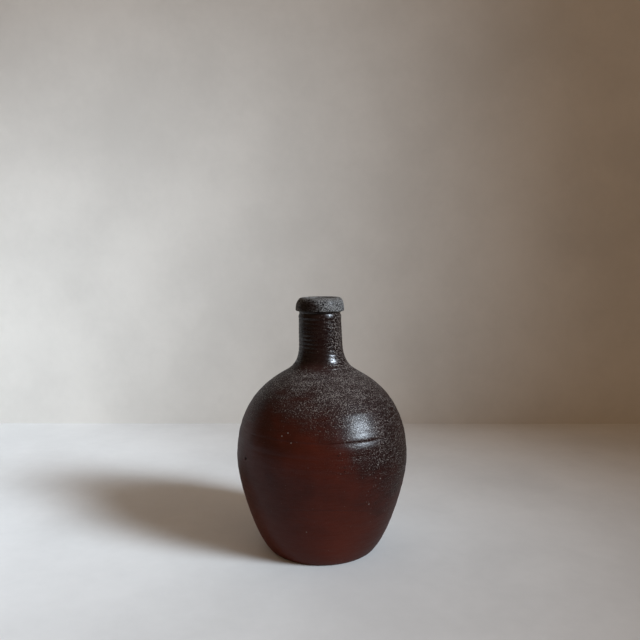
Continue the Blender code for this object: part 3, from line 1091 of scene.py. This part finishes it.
class SAKEBOTTLE_OT_lower_wall(AddsSection, bpy.types.Operator):
    """Turn the lower wall, from the foot to the seam above the belly"""

    bl_idname = "sake_bottle.add_lower_wall"
    bl_label = "Lower wall"
    node = "lower_wall"
    slot_name = "iron_glaze"
    finishes = {"outside": "iron_fired", "inside": "inside_fired", "joint": "clay_fired"}


class SAKEBOTTLE_OT_upper_wall(AddsSection, bpy.types.Operator):
    """Turn the upper wall, from the belly seam over the shoulder"""

    bl_idname = "sake_bottle.add_upper_wall"
    bl_label = "Upper wall"
    node = "upper_wall"
    slot_name = "ash_glaze"
    finishes = {"outside": "ash_fired", "inside": "inside_fired", "joint": "clay_fired"}


class SAKEBOTTLE_OT_neck(AddsSection, bpy.types.Operator):
    """Turn the neck, with its rings and the spigot that carries the mouth ring"""

    bl_idname = "sake_bottle.add_neck"
    bl_label = "Neck"
    node = "neck"
    slot_name = "neck_glaze"
    finishes = {"outside": "neck_fired", "inside": "inside_fired", "joint": "clay_fired"}


class SAKEBOTTLE_OT_mouth_ring(AddsSection, bpy.types.Operator):
    """Turn the mouth ring, with its dry ash"""

    bl_idname = "sake_bottle.add_mouth_ring"
    bl_label = "Mouth ring"
    node = "mouth_ring"
    slot_name = "rim_ash"
    finishes = {"outside": "rim_fired", "joint": "rim_fired"}


class SAKEBOTTLE_OT_studio(bpy.types.Operator):
    """Build the floor, the wall, the window light, the room light and the camera"""

    bl_idname = "sake_bottle.build_studio"
    bl_label = "Studio"

    def execute(self, context):
        studio = studio_settings()
        floor = plaster_finish("floor_plaster", studio.floor_color)
        add_plane("floor", (0, 0, -FLOOR_GAP), (0, 1, 0), floor)
        wall = plaster_finish("wall_plaster", studio.wall_color)
        add_plane("wall", (0, WALL_DISTANCE * TOTAL_HEIGHT, 0), (0, 0, 1), wall)
        add_window(studio)
        add_room_light(studio)
        add_camera()
        context.scene.view_settings.view_transform = "Standard"
        return {"FINISHED"}


def add_plane(name, middle, up, material):
    """A wide flat plane along the X axis."""
    half = STAGE_SIZE / 2
    across = Vector((half, 0, 0))
    rising = Vector(up) * half
    corners = [Vector(middle) + across * a + rising * b for a, b in PLANE_CORNERS]
    mesh = bpy.data.meshes.new(name)
    mesh.from_pydata(corners, [], [(0, 1, 2, 3)])
    mesh.materials.append(material)
    plane = bpy.data.objects.new(name, mesh)
    bpy.context.scene.collection.objects.link(plane)


def aimed(thing, place, target):
    """Put a light or a camera at a place, looking at a target."""
    thing.location = place
    thing.rotation_mode = "QUATERNION"
    thing.rotation_quaternion = (Vector(target) - Vector(place)).to_track_quat("-Z", "Y")
    bpy.context.scene.collection.objects.link(thing)


def add_window(studio):
    """One big soft window to the right of the bottle and in front of it."""
    light = bpy.data.lights.new("window", "AREA")
    light.shape = "RECTANGLE"
    light.size = studio.window_size
    light.size_y = studio.window_size * WINDOW_TALL
    light.energy = studio.window_power
    light.color = studio.window_color
    light.spread = WINDOW_SPREAD
    window = bpy.data.objects.new("window", light)
    level = WINDOW_DISTANCE * cos(WINDOW_RISE)
    place = (
        level * sin(WINDOW_AZIMUTH),
        -level * cos(WINDOW_AZIMUTH),
        WINDOW_DISTANCE * sin(WINDOW_RISE) + TOTAL_HEIGHT / 2,
    )
    aimed(window, place, WINDOW_TARGET)


def add_room_light(studio):
    """Dim light from the whole room."""
    world = bpy.data.worlds.new("room")
    world.use_nodes = True
    background = world.node_tree.nodes["Background"]
    background.inputs["Color"].default_value = (*studio.room_color, 1)
    background.inputs["Strength"].default_value = studio.room_strength
    bpy.context.scene.world = world


def add_camera():
    """A hand-held camera, level with the mouth and looking slightly down."""
    data = bpy.data.cameras.new("camera")
    data.lens = CAMERA_LENS
    data.clip_start = 0.01
    camera = bpy.data.objects.new("camera", data)
    place = [part * TOTAL_HEIGHT for part in CAMERA_PLACE]
    target = [part * TOTAL_HEIGHT for part in CAMERA_TARGET]
    aimed(camera, place, target)
    bpy.context.scene.camera = camera


class SAKEBOTTLE_PT_panel(bpy.types.Panel):
    """Everything that makes the bottle"""

    bl_label = "Sake bottle"
    bl_idname = "SAKEBOTTLE_PT_panel"
    bl_space_type = "VIEW_3D"
    bl_region_type = "UI"
    bl_category = "Sake bottle"

    def draw(self, context):
        column = self.layout.column(align=True)
        for operator in OPERATORS:
            column.operator(operator.bl_idname)
        for settings in (shape_settings(), kiln_settings(), studio_settings()):
            box = self.layout.box().column()
            for name in settings.__annotations__:
                box.prop(settings, name, text=name.replace("_", " ").capitalize())


GROUPS = {
    "sake_bottle_shape": ThrownShape,
    "sake_bottle_kiln": KilnFinish,
    "sake_bottle_studio": BottleStudio,
}
OPERATORS = (
    SAKEBOTTLE_OT_base_slab,
    SAKEBOTTLE_OT_lower_wall,
    SAKEBOTTLE_OT_upper_wall,
    SAKEBOTTLE_OT_neck,
    SAKEBOTTLE_OT_mouth_ring,
    SAKEBOTTLE_OT_studio,
)


def register():
    for name, group in GROUPS.items():
        bpy.utils.register_class(group)
        setattr(bpy.types.Scene, name, PointerProperty(type=group))
    for item in (*OPERATORS, SAKEBOTTLE_PT_panel):
        bpy.utils.register_class(item)


def unregister():
    for item in reversed((*OPERATORS, SAKEBOTTLE_PT_panel)):
        bpy.utils.unregister_class(item)
    for name, group in GROUPS.items():
        delattr(bpy.types.Scene, name)
        bpy.utils.unregister_class(group)


def main():
    register()
    bpy.ops.sake_bottle.add_base_slab()
    bpy.ops.sake_bottle.add_lower_wall()
    bpy.ops.sake_bottle.add_upper_wall()
    bpy.ops.sake_bottle.add_neck()
    bpy.ops.sake_bottle.add_mouth_ring()
    bpy.ops.sake_bottle.build_studio()


if __name__ == "__main__":
    main()
